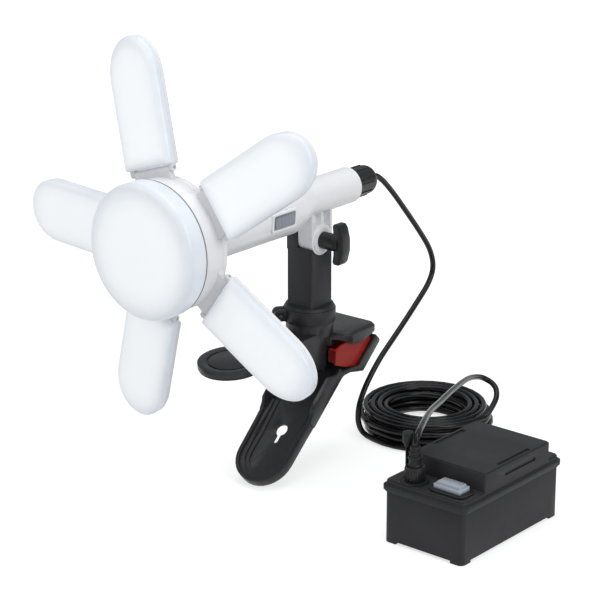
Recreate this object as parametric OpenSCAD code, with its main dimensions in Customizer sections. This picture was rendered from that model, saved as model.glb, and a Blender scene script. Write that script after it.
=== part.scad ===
// Clip-on work light: five folding leaves round a main lamp, a tilting barrel on a
// swivelling post, a spring clamp, and a battery box joined by a coiled cord.
// Millimetres, +Z up, the lamp faces -Y, the part stands on Z = 0.

/* [Main lamp] */
// Overhang of the main lens past the hub ring
lens_lip = 2; // [1:0.1:3]
// Depth of the main lens from its front to the seam
lens_depth = 20; // [16:1:26]
// Wall of the main lens
lens_wall = 2.2; // [1.6:0.1:3]
// Radius of the rounded front edge of the main lens
lens_edge = 6; // [4:0.5:8]
// Rise of the lens front at its centre
lens_crown = 1.4; // [0.5:0.1:3]
// Outer radius of the hub ring behind the lens
hub_r = 54.5; // [53:0.5:56]
// Depth of the hub ring
hub_depth = 29; // [26:1:32]
// Front of the main lens to the tilt pivot
head_reach = 216; // [205:1:235]

/* [Leaves] */
// Angle of the first leaf from straight up
leaf_turn = -18; // [-36:1:36]
// Length of a leaf
leaf_len = 107; // [80:0.5:125]
// Width of a leaf
leaf_w = 53.4; // [50:0.2:58]
// Length of the rounded leaf tip
leaf_tip = 34; // [28:1:45]
// Depth of the back shell of a leaf
leaf_back = 4.6; // [4.4:0.1:5.4]
// Height of the crowned leaf lens
leaf_crown = 8.2; // [7:0.1:10]
// Wall of the leaf shells
leaf_wall = 2.2; // [1.6:0.1:2.6]
// Angle by which the leaves are folded back
leaf_fold = 6.5; // [0:0.5:12]
// Radius of the circle of hinge pins
pin_circle = 59; // [58.5:0.1:60]
// Radius of a hinge pin
pin_r = 1.2; // [1:0.1:1.5]
// Width of a hinge neck
neck_w = 40; // [30:1:44]

/* [Barrel and stand] */
// Outer radius of the wide front of the barrel
barrel_front_r = 25; // [22:0.5:28]
// Outer radius of the narrow rear of the barrel
barrel_rear_r = 16; // [15:0.5:18]
// Tilt pivot to the rear end of the barrel
barrel_rear = 50; // [44:0.5:70]
// Wall of the barrel
barrel_wall = 2.4; // [1.8:0.1:3]
// Height of the barrel axis above the tilt pivot
head_rise = 36.5; // [35:0.5:40]
// Height of the tilt pivot above the clamp
pivot_z = 75; // [65:1:110]
// Width of the square post
post_w = 28; // [26:1:32]
// Radius of the tilt bolt
bolt_r = 3; // [2.5:0.5:4]
// Height of the wing of the knob
wing_h = 36; // [30:1:44]

/* [Clamp] */
// Outer radius of the swivel collar
collar_r = 23; // [22:0.5:26]
// Height of the swivel collar
collar_h = 12; // [10:0.5:14]
// Post axis to the centre of the clamp disc
disc_reach = 108; // [100:1:116]
// Radius of the clamp disc
disc_r = 28.5; // [24:0.5:32]
// Width of both handles
handle_w = 66; // [64:1:72]
// Pivot to the tip of the paddle
paddle_len = 133; // [115:0.2:133]
// Width of the paddle at its tip
paddle_w = 54; // [48:1:58]
// Radius of the hanging hole in the paddle
keyhole_r = 5.8; // [4:0.1:7]
// Width of the slot of the hanging hole
keyslot_w = 4.7; // [3:0.1:6]
// Radius of the jaw pin
jaw_pin_r = 2.5; // [2:0.1:3]
// Turn of the clamp about the post
clamp_turn = 2; // [-10:1:10]

/* [Battery box] */
// Width of the box
box_w = 79.2; // [70:0.2:90]
// Length of the box
box_l = 135.6; // [120:0.2:150]
// Height of the case below the lid
case_h = 45.5; // [43:0.5:70]
// Wall of the case and the lid
box_wall = 2.4; // [1.8:0.1:3]
// Height of the raised deck above the lid
deck_h = 16; // [10:0.5:24]
// Room between the cells and the long walls
cell_side = 3.6; // [1:0.1:6]
// Room between the cells and the short walls
cell_end = 5.2; // [2:0.1:10]

/* [Cord] */
// Radius of the cord
cord_r = 2.6; // [2.4:0.1:2.8]
// Radius of the outermost loop of the coil
coil_r = 60; // [54:1:70]
// Turns in each layer of the coil
coil_turns = 4; // [3:1:5]
// Distance from loop to loop in a layer
coil_pitch = 6.4; // [6.4:0.1:8]
// Distance from layer to layer
layer_pitch = 7; // [6.4:0.1:7.4]

/* [Hidden] */
$fn = 64;

running = 0.05;   // running clearance of pins and shafts
gap = 0.3;        // gap between pieces that move past each other
eps = 0.1;        // overshoot of a cut

dark = [0.13, 0.13, 0.14];
black = [0.07, 0.07, 0.08];
white = [0.93, 0.94, 0.95];
frost = [0.97, 0.98, 1.0];
red = [0.62, 0.09, 0.06];
board_green = [0.2, 0.4, 0.28];
steel = [0.7, 0.7, 0.72];
clear_grey = [0.5, 0.56, 0.66];

// the lamp is drawn about the post axis, then moved so that the part stands on Z = 0
lens_r = hub_r + lens_lip;
ground = 131.5;
mid_x = 37.74;
mid_y = -66;
head_x = 2.6;
head_z = pivot_z + head_rise;

lens_front = -head_reach;
seam_y = lens_front + lens_depth;
hub_back = seam_y + hub_depth;
leaf_plane = lens_front + lens_depth + 19.5;
neck_r = 2.8;
leaf_base = neck_r + 0.3;
ear_t = 4;

lever_y = 10;
lever_z = -32;
lever_tilt = 41.5;
disc_z = -7.3;
disc_tilt = 6;
lug_r = 6;

box_x = 199.8;
box_y = -29;
rim_z = -ground + case_h + 1;
lid_z = rim_z + 8.5;
deck_z = lid_z + deck_h;
inlet_x = box_x - box_w / 2 + 21.6;
inlet_y = box_y - box_l / 2 + 12.3;
plug_top = -46;
switch_x = box_x + box_w / 2 - 21.9;
switch_y = box_y - box_l / 2 + 13.8;
cell_r = (box_w - 2 * box_wall - 2 * cell_side) / 4 - 0.3;
cell_len = (box_l - 2 * box_wall - 2 * cell_end) / 2 - 1.2;

floor_z = -ground + cord_r;
coil_x = 37;
coil_y = 124;
coil_start = 255;
climb = 0.5;
coil_end_turn = 15.264 - 16 + 4 * coil_turns;
rings_per_loop = 24;

function arc(x, y, r, a0, a1, n) =
    [for (i = [0:n]) let (a = a0 + (a1 - a0) * i / n) [x + r * cos(a), y + r * sin(a)]];
function round_rect(w, l, r) = concat(
    arc(w / 2 - r, l / 2 - r, r, 0, 90, 5), arc(-w / 2 + r, l / 2 - r, r, 90, 180, 5),
    arc(-w / 2 + r, -l / 2 + r, r, 180, 270, 5), arc(w / 2 - r, -l / 2 + r, r, 270, 360, 5));

module placed() translate([-mid_x, -mid_y, ground]) children();
// local z runs along the barrel to the tail, local -y is up
module head_frame() placed() translate([head_x, 0, head_z]) rotate([-90, 0, 0]) children();
// x is the leaf's width, y runs out along it and z faces the front
module at_leaf(k, fold) placed() translate([head_x, 0, head_z]) rotate([0, leaf_turn + 72 * (k - 1), 0])
    translate([0, leaf_plane, pin_circle]) rotate([90 - fold, 0, 0]) children();
module clamp_frame() placed() rotate([0, 0, clamp_turn]) children();
// y runs up and back along the lever, z stands square to it
module lever_frame() clamp_frame() translate([0, lever_y, lever_z]) rotate([lever_tilt, 0, 0]) children();
// a cylinder along X from x0 to x1
module rod_x(x0, x1, r) translate([x0, 0, 0]) rotate([0, 90, 0]) cylinder(r = r, h = x1 - x0);
// a Y-Z outline extruded along X from x0 to x1
module plate_x(x0, x1, pts) translate([x0, 0, 0]) rotate([90, 0, 90]) linear_extrude(x1 - x0) polygon(pts);
module box_frame() placed() translate([box_x, box_y, 0]) children();
module slab(w, l, r, z0, z1) translate([0, 0, z0]) linear_extrude(z1 - z0) polygon(round_rect(w, l, r));

// a tube through the points, with square ends
function unit(v) = v / norm(v);
function tangent(p, i) = let (n = len(p) - 1) unit(p[min(i + 1, n)] - p[max(i - 1, 0)]);
function smooth(p, i, t) = let (n = len(p) - 1, a = p[max(i - 1, 0)], b = p[i], c = p[min(i + 1, n)],
    d = p[min(i + 2, n)])
    0.5 * (2 * b + (c - a) * t + (2 * a - 5 * b + 4 * c - d) * t * t + (3 * b - a - 3 * c + d) * t * t * t);
function smoothed(p) = concat([p[0]], [for (i = [1:len(p) - 3]) each [p[i], smooth(p, i, 0.5)]],
    [p[len(p) - 2], p[len(p) - 1]]);
function carried(p, i, u) = i == 0 ? u : let (t = tangent(p, i)) unit(u - (u * t) * t);
function sides_of(p, i, u, acc) = i == len(p) ? acc :
    let (v = carried(p, i, u)) sides_of(p, i + 1, v, concat(acc, [v]));
module tube(p, r, sides) {
    t0 = tangent(p, 0);
    first = unit(cross(t0, abs(t0.z) > 0.9 ? [1, 0, 0] : [0, 0, 1]));
    us = sides_of(p, 0, first, []);
    n = len(p);
    points = [for (i = [0:n - 1]) let (t = tangent(p, i), u = us[i], w = cross(t, u))
        each [for (j = [0:sides - 1]) p[i] + r * (u * cos(360 * j / sides) + w * sin(360 * j / sides))]];
    walls = [for (i = [0:n - 2]) each [for (j = [0:sides - 1]) let (a = i * sides + j,
        b = i * sides + (j + 1) % sides) each [[a, b, b + sides], [a, b + sides, a + sides]]]];
    ends = [for (j = [1:sides - 2]) each [[0, j + 1, j], [(n - 1) * sides, (n - 1) * sides + j,
        (n - 1) * sides + j + 1]]];
    polyhedron(points, [for (f = concat(walls, ends)) [f[0], f[2], f[1]]]);
}

// turns since the start of the coil give the loop's radius and height
function layer_of(t) = min(floor(t / coil_turns), 3);
function inner_loop() = coil_r - coil_pitch * (coil_turns - climb);
function coil_radius(t) = let (k = layer_of(t), s = min(t - k * coil_turns, coil_turns - climb))
    k % 2 == 0 ? coil_r - coil_pitch * s : inner_loop() + coil_pitch * s;
function coil_height(t) = let (k = layer_of(t), s = t - k * coil_turns - (coil_turns - climb))
    floor_z + layer_pitch * (k + max(s, 0) / climb);
function coil_point(t) = let (a = coil_start + 360 * t, r = coil_radius(t))
    [coil_x + r * cos(a), coil_y + r * sin(a), coil_height(t)];
function along(t) = let (a = coil_start + 360 * t) [-sin(a), cos(a), 0];
coil_steps = floor(coil_end_turn * rings_per_loop);
coil_turn_points = [for (i = [0:coil_steps]) coil_point(coil_end_turn * i / coil_steps)];
coil_in = coil_point(0) - 2 * cord_r * along(0);
coil_out = coil_point(coil_end_turn) + 2 * cord_r * along(coil_end_turn);
coil_path = concat([coil_in], coil_turn_points, [coil_out]);
coil_gap = min([for (i = [0:4:coil_steps - 20]) min([for (j = [i + 12:coil_steps])
    norm(coil_turn_points[i] - coil_turn_points[j])])]) - 2 * cord_r;
echo(coil_least_gap = coil_gap);

// route of the cord from the gland to the floor
upper_route = [[head_x, 84, head_z], [head_x, 89.2, head_z], [3, 99.5, 104], [3, 116, 88], [3, 135, 66.5],
    [3, 155, 44.5], [3, 171, 23], [3, 176.5, 5], [3, 169.5, -9.5], [3, 152.5, -23], [3, 127.5, -42.5],
    [3, 98.5, -62], [3, 78, -82.5], [3, 67.5, -99], [2.8, 65.5, -112], [3.2, 66.8, -121], [6, 69, -127],
    coil_in - [5.02, -1.35, 0], coil_in];
// route of the cord from the coil to the plug
lower_route = [coil_out, coil_out + [0.9, 5.1, 0.4], [98.5, 131, -107.5], [100, 140, -100], [99, 148, -92.5],
    [93, 155, -87], [85, 157.5, -84], [78.5, 152, -79.5], [80, 136, -74], [86.5, 118, -69.5], [96.5, 94, -64],
    [107, 70, -60], [118, 45, -55.5], [129, 20, -52], [137, 2, -48.5], [144.5, -15, -45.5], [153, -30, -42.5],
    [161.5, -45, -40], [170, -60, -38], [177.5, -74, -37], [inlet_x, -82.5, -39], [inlet_x, inlet_y, -42.5],
    [inlet_x, inlet_y, plug_top]];

// main lamp

module main_lens() head_frame() color(frost) rotate_extrude($fn = 96) {
    flat_r = lens_r - lens_edge;
    polygon(concat(
        [for (i = [0:4]) [flat_r * i / 4, lens_front + lens_crown * pow(i / 4, 2)]],
        arc(flat_r, lens_front + lens_crown + lens_edge, lens_edge, -81, 0, 8),
        [[lens_r, seam_y], [lens_r - lens_wall, seam_y]],
        arc(flat_r, lens_front + lens_crown + lens_edge, lens_edge - lens_wall, 0, -81, 8),
        [for (i = [4:-1:0]) [flat_r * i / 4, lens_front + lens_wall + lens_crown * pow(i / 4, 2)]]));
}

module hub_ring() color(white) difference() {
    union() {
        head_frame() rotate_extrude($fn = 96) polygon([[hub_r - 3, seam_y], [hub_r, seam_y],
            [hub_r, leaf_plane + 0.9],
            [hub_r - 0.6, leaf_plane + 1.2], [hub_r - 0.6, leaf_plane + 1.8], [hub_r, leaf_plane + 2.1],
            [hub_r, hub_back - 3], [hub_r - 4, hub_back], [barrel_front_r - barrel_wall - running, hub_back],
            [barrel_front_r - barrel_wall - running, hub_back + 6], [18, hub_back + 6], [18, hub_back - 2.6],
            [hub_r - 9, hub_back - 2.6], [hub_r - 6.5, hub_back - 5.6], [hub_r - 6.5, seam_y + 8],
            [hub_r - 3, seam_y + 8]]);
        for (k = [1:5]) at_leaf(k, 0) {
            translate([-neck_w / 2, -10.6, -neck_r]) cube([neck_w, 10.6, 2 * neck_r]);
            rod_x(-neck_w / 2, neck_w / 2, neck_r);
        }
    }
    for (k = [1:5]) at_leaf(k, 0) rod_x(-neck_w / 2 - eps, neck_w / 2 + eps, pin_r + 0.02);
}

module led_board_main() head_frame() color(board_green) union() {
    difference() {
        translate([0, 0, seam_y + 6.4]) cylinder(r = hub_r - 3.5, h = 1.6);
        translate([0, 0, seam_y + 6]) cylinder(r = 6, h = 3);
    }
    for (ring = [[16, 6], [30, 12], [42, 16]], i = [1:ring[1]])
        rotate([0, 0, 360 * i / ring[1]]) translate([ring[0] - 1.75, -1.75, seam_y + 5.4]) cube([3.5, 3.5, 1.1]);
}

module leaf_pins() color(steel) for (k = [1:5]) at_leaf(k, 0)
    rod_x(-neck_w / 2 - gap - ear_t, neck_w / 2 + gap + ear_t, pin_r);

// leaves

function leaf_side(inset, tip_inset) = let (w = leaf_w / 2 - inset, base = leaf_base + inset,
    tip = leaf_base + leaf_len - leaf_tip)
    concat([[w - 1.4, base], [w - 0.4, base + 0.4], [w, base + 1.4]],
        [for (a = [0:9:81]) [w * pow(cos(a), 0.95), tip + (leaf_tip - tip_inset) * sin(a)]],
        [[0, leaf_base + leaf_len - tip_inset]]);
function leaf_outline(inset, tip_inset) = let (s = leaf_side(inset, tip_inset), n = len(s))
    concat(s, [for (i = [n - 2:-1:0]) [-s[i].x, s[i].y]]);
module leaf_layer(inset, z0, z1, tip_inset = -1) translate([0, 0, z0]) linear_extrude(z1 - z0)
    polygon(leaf_outline(inset, tip_inset < 0 ? inset : tip_inset));

module leaf_shell(k) at_leaf(k, leaf_fold) color(white) difference() {
    union() {
        leaf_layer(0, -leaf_back + 1.5, 0);
        leaf_layer(1.2, -leaf_back, -leaf_back + 1.5);
        for (s = [-1, 1]) {
            x0 = s > 0 ? neck_w / 2 + gap : -neck_w / 2 - gap - ear_t;
            rod_x(x0, x0 + ear_t, neck_r);
            translate([x0, 0, -neck_r]) cube([ear_t, leaf_base, 2 * neck_r]);
            translate([x0, 0, -neck_r]) cube([ear_t, leaf_base + 1.5, neck_r]);
        }
    }
    leaf_layer(leaf_wall, -leaf_back + leaf_wall, eps);
    rod_x(-leaf_w, leaf_w, pin_r + running);
}
module leaf_lens(k) at_leaf(k, leaf_fold) color(frost) difference() {
    hull() {
        leaf_layer(0, 0, leaf_crown - 4.4);
        leaf_layer(1, 0, leaf_crown - 1.9, 2);
        leaf_layer(2.8, 0, leaf_crown - 0.6, 5.5);
        leaf_layer(7.5, 0, leaf_crown, 13);
    }
    leaf_layer(leaf_wall, -eps, leaf_crown - 3.6, 4);
    leaf_layer(leaf_wall + 4, -eps, leaf_crown - leaf_wall, 10);
}
module leaf_board(k) at_leaf(k, leaf_fold) color(board_green) union() {
    leaf_layer(leaf_wall + 0.4, -leaf_back + leaf_wall, -leaf_back + leaf_wall + 1.4);
    for (x = [-9, 9], i = [0:5]) translate([x - 1.75, leaf_base + 12 + 15 * i * leaf_len / 107,
        -leaf_back + leaf_wall + 1.3]) cube([3.5, 3.5, 1]);
}
module leaf_shell_1() leaf_shell(1);
module leaf_lens_1() leaf_lens(1);
module leaf_board_1() leaf_board(1);
module leaf_shell_2() leaf_shell(2);
module leaf_lens_2() leaf_lens(2);
module leaf_board_2() leaf_board(2);
module leaf_shell_3() leaf_shell(3);
module leaf_lens_3() leaf_lens(3);
module leaf_board_3() leaf_board(3);
module leaf_shell_4() leaf_shell(4);
module leaf_lens_4() leaf_lens(4);
module leaf_board_4() leaf_board(4);
module leaf_shell_5() leaf_shell(5);
module leaf_lens_5() leaf_lens(5);
module leaf_board_5() leaf_board(5);

// barrel, switch and gland

taper_start = -38;
taper_end = -13;
knuckle_x0 = -1.5;
knuckle_x1 = 15.3;
knuckle_r = 13.6;
panel_y = -66;
panel_l = 31;
panel_h = 16.5;
panel_drop = 4;

module barrel_profile(inset, z0, z1) rotate_extrude($fn = 96) {
    f = barrel_front_r - inset;
    b = barrel_rear_r - inset;
    polygon([[0, z0], [f, z0], [f, taper_start], [f - 0.13 * (f - b), taper_start + 5],
        [b + 0.5 * (f - b), taper_start + 13], [b + 0.12 * (f - b), taper_end - 3], [b, taper_end], [b, z1 - 1.2],
        [b - 1.2, z1], [0, z1]]);
}
// local z points out of the switch panel, x along the barrel
module panel_frame() head_frame() rotate([0, 0, panel_drop]) translate([0, 0, panel_y])
    rotate([0, 90, 0]) children();
module barrel() color(white) difference() {
    union() {
        head_frame() barrel_profile(0, hub_back, barrel_rear);
        placed() translate([0, 0, pivot_z]) {
            translate([knuckle_x0, -knuckle_r, 0]) cube([knuckle_x1 - 1.5 - knuckle_x0, 2 * knuckle_r, head_rise - 7]);
            rod_x(knuckle_x0, knuckle_x1 - 1.5, knuckle_r);
            rod_x(knuckle_x0, knuckle_x1, knuckle_r - 2);
        }
    }
    head_frame() barrel_profile(barrel_wall, hub_back - eps, barrel_rear - barrel_wall);
    head_frame() translate([0, 0, barrel_rear - 5]) cylinder(r = 7, h = 10);
    placed() translate([0, 0, pivot_z]) rod_x(knuckle_x0 - 1, knuckle_x1 + 1, bolt_r + running);
    difference() {
        for (y = [-knuckle_r + 2.4, 0.8]) placed() translate([knuckle_x1 - 8.5, y, pivot_z + 6])
            cube([9, knuckle_r - 3.2, head_rise - 8]);
        placed() translate([0, 0, pivot_z]) rod_x(knuckle_x0, knuckle_x1 + 1, knuckle_r);
        head_frame() barrel_profile(0, hub_back, barrel_rear);
    }
    panel_frame() slab(panel_l + 0.2, panel_h + 0.2, 2, barrel_front_r - 5.5, barrel_front_r + 8);
}
module head_switch_frame() panel_frame() color(white) difference() {
    slab(panel_l, panel_h, 2, barrel_front_r - 5.4, barrel_front_r + 0.9);
    slab(panel_l - 4, panel_h - 4, 1.5, barrel_front_r - 4, barrel_front_r + 2);
}
module head_button() panel_frame() color(clear_grey) union() {
    slab(panel_l - 4.6, panel_h - 4.6, 1.2, barrel_front_r - 2.5, barrel_front_r + 0.6);
    slab(panel_l - 7, panel_h - 7, 1.2, barrel_front_r + 0.5, barrel_front_r + 1.4);
}
module driver_board() head_frame() color(board_green) union() {
    half = sqrt(pow(barrel_front_r - barrel_wall - 0.2, 2) - 5.6 * 5.6);
    translate([-half, 4, hub_back + 12]) cube([2 * half, 1.6, 60]);
    translate([-8, -6, hub_back + 22]) cube([14, 10.1, 16]);
    translate([-10, 0, hub_back + 46]) cube([8, 4.1, 12]);
}
gland_r = 13;
gland_end = 84;
module cord_gland() head_frame() color(black) union() {
    rotate_extrude() polygon(concat([[0, barrel_rear - 3], [6.95, barrel_rear - 3], [6.95, barrel_rear]],
        [[gland_r + 1, barrel_rear], [gland_r + 1, barrel_rear + 2.4], [gland_r, barrel_rear + 3.2]],
        arc(gland_r - 9, gland_end - 13, 9, 0, 72, 6),
        [[5.2, gland_end - 3], [4.6, gland_end], [0, gland_end]]));
    for (i = [1:10]) rotate([0, 0, 36 * i]) translate([gland_r - 2, -1.3, barrel_rear])
        cube([2.7, 2.6, gland_end - barrel_rear - 14]);
}

// post, bolt and knob

tilt_range = [-60, 20];
module post() placed() color(dark) difference() {
    union() {
        slab(post_w, post_w, 1.6, collar_h + 1, pivot_z - 7);
        translate([-post_w / 2, -post_w / 2, pivot_z - 10]) cube([post_w / 2 - 1.8, post_w, 10]);
        translate([0, 0, pivot_z]) rod_x(-post_w / 2, -1.8, post_w / 2);
        translate([0, 0, collar_h + gap]) cylinder(r1 = collar_r - 0.5, r2 = collar_r - 2, h = 2.6);
        translate([0, 0, gap]) cylinder(r = 17 - running, h = collar_h + 1);
        translate([0, 0, -12 - gap]) cylinder(r = 8, h = 14);
    }
    translate([0, 0, pivot_z]) {
        rod_x(-1.8, post_w, knuckle_r + 0.6);
        for (a = tilt_range) rotate([a, 0, 0]) translate([-1.8, -knuckle_r - 0.6, 0])
            cube([post_w, 2 * knuckle_r + 1.2, head_rise]);
        rod_x(-post_w, 0, bolt_r + running);
        translate([-post_w / 2 - eps, 0, 0]) rotate([0, 90, 0]) cylinder(r = 5.9, h = 5 + eps, $fn = 6);
    }
    translate([0, 0, -14]) cylinder(r = 2.5, h = 12);
}
module tilt_nut() placed() color(steel) translate([-post_w / 2, 0, pivot_z]) difference() {
    rotate([0, 90, 0]) cylinder(r = 5.8, h = 4.9, $fn = 6);
    rod_x(-1, 6, bolt_r + running);
}
module post_retainer() placed() color(steel) union() {
    translate([0, 0, -15]) cylinder(r = 10.5, h = 3 - gap);
    translate([0, 0, -18]) cylinder(r = 5, h = 3.1);
    translate([0, 0, -16]) cylinder(r = 2.48, h = 13);
}
module tilt_bolt() placed() color(steel) translate([0, 0, pivot_z]) rod_x(-post_w / 2 + 0.5, knuckle_x1 + 16, bolt_r);
module tilt_knob() placed() color(black) translate([0, 0, pivot_z]) difference() {
    union() {
        rod_x(knuckle_x1 + gap, knuckle_x1 + 19, 7.5);
        translate([0, 5, 0]) rotate([90, 0, 0]) linear_extrude(10) polygon([[29.6, -wing_h / 2 + 2],
            [31, -wing_h / 2], [36, -wing_h / 2], [38.4, -wing_h / 2 + 3], [41, -5], [41, 5],
            [38.4, wing_h / 2 - 3], [36, wing_h / 2], [31, wing_h / 2], [29.6, wing_h / 2 - 2],
            [30.6, 9], [30.6, -9]]);
    }
    rod_x(knuckle_x1, knuckle_x1 + 16, bolt_r + 0.02);
}

// clamp

lug_y = 27.4;
lug_turn = 139;
module swivel_collar() clamp_frame() color(dark) difference() {
    union() {
        cylinder(r = collar_r, h = collar_h);
        rotate([0, 0, lug_turn - 90 + 180]) translate([0, -7, 1]) cube([lug_y, 14, collar_h - 2]);
        rotate([0, 0, lug_turn - 90 + 180]) translate([lug_y, 7, collar_h / 2]) rotate([90, 0, 0])
            cylinder(r = 5, h = 14);
    }
    translate([0, 0, -1]) cylinder(r = 17, h = collar_h + 2);
    rotate([0, 0, lug_turn - 90 + 180]) translate([0, -1, -1]) cube([lug_y + 8, 2, collar_h + 2]);
    rotate([0, 0, lug_turn - 90 + 180]) translate([lug_y, 9, collar_h / 2]) rotate([90, 0, 0])
        cylinder(r = 2.05, h = 18);
}
module collar_screw() clamp_frame() color(steel) rotate([0, 0, lug_turn - 90 + 180])
    translate([lug_y, 0, collar_h / 2]) rotate([90, 0, 0]) {
        translate([0, 0, -9]) cylinder(r = 2, h = 17);
        translate([0, 0, 7]) cylinder(r = 3.6, h = 2.4);
    }

// plan outline of the upper handle, flaring from the neck
function handle_plan(inset) = let (w = handle_w / 2 - inset, y0 = 7 + inset, y1 = 56 - inset, r = 6 - inset / 2)
    concat([[17 - inset, y0], [w - 4, 14 + inset / 2], [w, 20 + inset / 2]], arc(w - r, y1 - r, r, 0, 90, 5),
        arc(-w + r, y1 - r, r, 90, 180, 5), [[-w, 20 + inset / 2], [-w + 4, 14 + inset / 2], [-17 + inset, y0]]);
handle_top = -11;
rim_low = -23.6;
// what is cut away below the wavy rim of the upper handle, lowered by drop
module rim_cut(drop) translate([0, 0, -drop]) {
    for (x = [-handle_w, 18.2]) plate_x(x, x + handle_w - 18.2, [[0, -17], [12, -18], [22, -22.4], [30, -23.4],
        [37, -22.6], [58, -17], [70, -17], [70, -50], [0, -50]]);
    plate_x(-19, 19, [[37, -22.6], [58, -17], [70, -17], [70, -50], [37, -50]]);
}
module handle_layer(inset, z0, z1) translate([0, 0, z0]) linear_extrude(z1 - z0) polygon(handle_plan(inset));
// how far the arm runs under the disc, from the disc's middle
arm_lap = 22;
arm_end = -disc_reach + arm_lap;
module upper_jaw() clamp_frame() color(dark) difference() {
    union() {
        translate([0, 0, -12]) cylinder(r = 21, h = 12);
        plate_x(-18, 18, [[12, handle_top], [5, -8], [-36, -8], [-36, -12], [8, -12], [12, -14]]);
        for (x = [-18, 15]) plate_x(x, x + 3, [[5, -9], [3, -14], [0.6, -22], [0.6, -40], [-1.4, -42],
            [-7, -42], [-14, -40.6], [-24, -33], [-36, -17], [-36, -9]]);
        for (x = [-18, 15]) plate_x(x, x + 3, [[-35, -8], [arm_end, -6], [arm_end, -10.5], [-35, -17]]);
        plate_x(-18, 18, [[-35, -8], [arm_end, -6], [arm_end, -9], [-35, -12]]);
        translate([0, -disc_reach, disc_z]) rotate([disc_tilt, 0, 0]) translate([0, 0, -4.7])
            cylinder(r = disc_r, h = 4.7);
        hull() {
            handle_layer(0, rim_low, handle_top - 2.5);
            handle_layer(2.2, handle_top - 1, handle_top);
        }
        for (x = [-12.8, 10]) plate_x(x, x + 2.8, concat([[5, -12], [4, -30]],
            arc(lever_y, lever_z, lug_r, 180, 360, 8), [[16, -12]]));
    }
    difference() {
        handle_layer(3, rim_low - 1, handle_top - 3);
        for (x = [-12.8, 10]) plate_x(x, x + 2.8, [[4, -40], [4, 0], [16, 0], [16, -40]]);
    }
    rim_cut(0);
    translate([0, -disc_reach, disc_z]) rotate([disc_tilt, 0, 0]) translate([0, 0, -4.7 - 8])
        cylinder(r = disc_r - 0.7, h = 8);
    translate([-9.9, 3, -30]) cube([19.8, 10, 18]);
    translate([0, 0, -13]) cylinder(r = 8 + running, h = 14);
    translate([0, lever_y, lever_z]) rod_x(-20, 20, jaw_pin_r + running);
    translate([0, -disc_reach, disc_z]) rotate([disc_tilt, 0, 0]) difference() {
        translate([0, 0, -1]) cylinder(r = 21, h = 3);
        translate([0, 0, -2]) cylinder(r = 19, h = 5);
    }
}
module jaw_pad() clamp_frame() color(black) translate([0, -disc_reach, disc_z]) rotate([disc_tilt, 0, 0])
    translate([0, 0, -6.7]) cylinder(r = disc_r - 1, h = 2);
module upper_grip_liner() clamp_frame() color(red) difference() {
    intersection() {
        handle_layer(3.1, rim_low - 1, handle_top - 3);
        translate([-50, 23, -60]) cube([100, 60, 60]);
    }
    handle_layer(5, rim_low - 2, handle_top - 5);
    rim_cut(0.9);
}
module jaw_pin() lever_frame() color(steel) rod_x(-13.3, 13.3, jaw_pin_r);

// lower jaw, drawn with the lever along y
deck_low = -14.9;
deck_floor = deck_low + 2.9;
paddle_rim = -6.4;
lever_w = 57;
// the lower handle is this much narrower than the upper one on each side
grip_step = 1.5;
grip_w = handle_w - 2 * grip_step;
// plan of the lever, wider at the grip
function lever_plan(inset) = let (b = lever_w / 2 - inset, g = grip_w / 2 - inset) [[b, -70], [b, -14],
    [b + 0.8, -8], [g - 0.4, -3], [g, 1], [g, 44], [-g, 44], [-g, 1], [-g + 0.4, -3], [-b - 0.8, -8], [-b, -14],
    [-b, -70]];
function paddle_outline(inset) = let (w = paddle_w / 2 - inset, b = lever_w / 2 - inset,
    r = paddle_w / 2, tip = -paddle_len + r)
    concat([[b, -9], [b, -52], [w + 0.4, -78]], arc(0, tip, w, 0, -180, 16), [[-w - 0.4, -78], [-b, -52], [-b, -9]]);
function pocket_outline(inset) = let (w = paddle_w / 2 - inset, b = lever_w / 2 - inset,
    r = paddle_w / 2, tip = -paddle_len + r)
    concat([[b, -9], [b, -52], [w, -84]], arc(0, tip, w, 0, -180, 16), [[-w, -84], [-b, -52], [-b, -9]]);
module lever_tray() lever_frame() color(dark) difference() {
    union() {
        translate([0, 0, deck_low]) linear_extrude(paddle_rim - deck_low) polygon(paddle_outline(0));
        intersection() {
            plate_x(-grip_w / 2, grip_w / 2, [[-66, deck_low], [-10.6, -15.4], [-4, -19], [7, -33.4], [39, -33.4],
                [40.5, -31.8], [40, -23.9], [7, -23.9], [-3, -15], [-17.7, -4.6], [-24.5, 2.2], [-50, 2.2],
                [-55.5, -0.5], [-60, -4.3], [-66, paddle_rim]]);
            translate([0, 0, -40]) linear_extrude(60) polygon(lever_plan(0));
        }
    }
    for (s = [-1, 1]) translate([0, -16, 0]) rotate([90, 0, 0]) linear_extrude(46)
        polygon([[s * (lever_w / 2 + eps), -1.2], [s * (lever_w / 2 + eps), 3], [s * (lever_w / 2 - 2), 3],
            [s * (lever_w / 2 - 2), 1.9]]);
    difference() {
        for (step = [[11.5, 0], [7.5, 1.6], [3, 3.2]]) translate([0, 0, deck_floor + step[1]])
            linear_extrude(30) polygon(pocket_outline(step[0]));
        translate([-30, -10, -20]) cube([60, 40, 40]);
    }
    intersection() {
        plate_x(-grip_w / 2 + 3, grip_w / 2 - 3, [[-52, deck_floor + 3.2], [-50, deck_floor], [-11, -12.8],
            [-2.6, -16.4], [8.6, -30.9], [37.5, -30.9], [37.5, -10], [-6, 10], [-52, 10]]);
        translate([0, 0, -40]) linear_extrude(60) polygon(lever_plan(3));
    }
    translate([0, -77.2, deck_low - 1]) cylinder(r = keyhole_r, h = 6);
    translate([-keyslot_w / 2, -88.5, deck_low - 1]) cube([keyslot_w, 11, 6]);
    translate([0, -88.5, deck_low - 1]) cylinder(r = keyslot_w / 2, h = 6);
}
module lower_lug(x) plate_x(x, x + 2.6, concat([[-14, -14.2]], arc(0, 0, lug_r, 180, 0, 10), [[-1, -19]]));
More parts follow.
